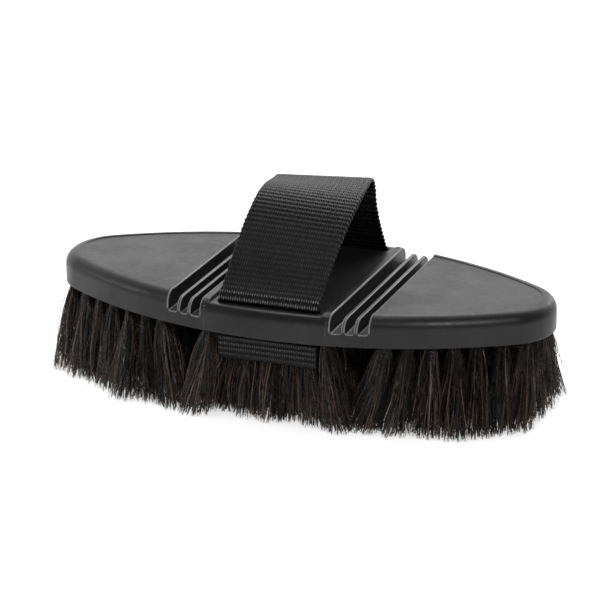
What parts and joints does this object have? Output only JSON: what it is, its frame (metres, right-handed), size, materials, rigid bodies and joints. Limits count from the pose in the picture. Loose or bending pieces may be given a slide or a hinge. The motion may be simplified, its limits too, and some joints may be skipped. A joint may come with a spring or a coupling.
{
  "type": "grooming body brush",
  "caption": "Flexible horse body brush: an oval moulded back that bends along ribbed grooves, hair tufts below and a webbing hand strap above.",
  "frame": {"origin": "middle of the bounding box at the trimmed bristle face", "axes": "+X along the back's length, +Y across the back towards the strap's steep leg, +Z from the bristles up to the strap"},
  "size_m": [0.2014, 0.092, 0.077],
  "materials": {
    "moulded_back": "matte black moulded flexible plastic",
    "webbing": "woven black polypropylene webbing",
    "horsehair": "dark brown-black horsehair, trimmed level",
    "anchor_wire": "plain steel wire"
  },
  "bodies": {
    "centre": {"centre_block": "moulded_back", "hand_strap": "webbing", "centre_anchors": "anchor_wire", "centre_tufts_1": "horsehair", "centre_tufts_2": "horsehair", "centre_tufts_3": "horsehair", "centre_tufts_4": "horsehair", "centre_tufts_5": "horsehair", "centre_tufts_6": "horsehair", "centre_tufts_7": "horsehair"},
    "left_inner_rib": {"left_inner_rib": "moulded_back"},
    "left_outer_rib": {"left_outer_rib": "moulded_back"},
    "left_wing": {"left_wing": "moulded_back", "left_anchors": "anchor_wire", "left_tufts_1": "horsehair", "left_tufts_2": "horsehair", "left_tufts_3": "horsehair", "left_tufts_4": "horsehair", "left_tufts_5": "horsehair", "left_tufts_6": "horsehair", "left_tufts_7": "horsehair"},
    "right_inner_rib": {"right_inner_rib": "moulded_back"},
    "right_outer_rib": {"right_outer_rib": "moulded_back"},
    "right_wing": {"right_wing": "moulded_back", "right_anchors": "anchor_wire", "right_tufts_1": "horsehair", "right_tufts_2": "horsehair", "right_tufts_3": "horsehair", "right_tufts_4": "horsehair", "right_tufts_5": "horsehair", "right_tufts_6": "horsehair", "right_tufts_7": "horsehair"}
  },
  "joints": [
    {"name": "left_inner_flex", "type": "hinge", "parent": "centre", "child": "left_inner_rib", "pos_m": [-0.0282, 0, 0.0351], "axis": [0, 1, 0], "range_deg": [-6, 9], "stiffness_Nm_per_rad": 4},
    {"name": "left_middle_flex", "type": "hinge", "parent": "left_inner_rib", "child": "left_outer_rib", "pos_m": [-0.0333, 0, 0.0351], "axis": [0, 1, 0], "range_deg": [-6, 9], "stiffness_Nm_per_rad": 4},
    {"name": "left_outer_flex", "type": "hinge", "parent": "left_outer_rib", "child": "left_wing", "pos_m": [-0.0383, 0, 0.0351], "axis": [0, 1, 0], "range_deg": [-6, 9], "stiffness_Nm_per_rad": 4},
    {"name": "right_inner_flex", "type": "hinge", "parent": "centre", "child": "right_inner_rib", "pos_m": [0.0282, 0, 0.0351], "axis": [0, -1, 0], "range_deg": [-6, 9], "stiffness_Nm_per_rad": 4},
    {"name": "right_middle_flex", "type": "hinge", "parent": "right_inner_rib", "child": "right_outer_rib", "pos_m": [0.0333, 0, 0.0351], "axis": [0, -1, 0], "range_deg": [-6, 9], "stiffness_Nm_per_rad": 4},
    {"name": "right_outer_flex", "type": "hinge", "parent": "right_outer_rib", "child": "right_wing", "pos_m": [0.0383, 0, 0.0351], "axis": [0, -1, 0], "range_deg": [-6, 9], "stiffness_Nm_per_rad": 4}
  ]
}
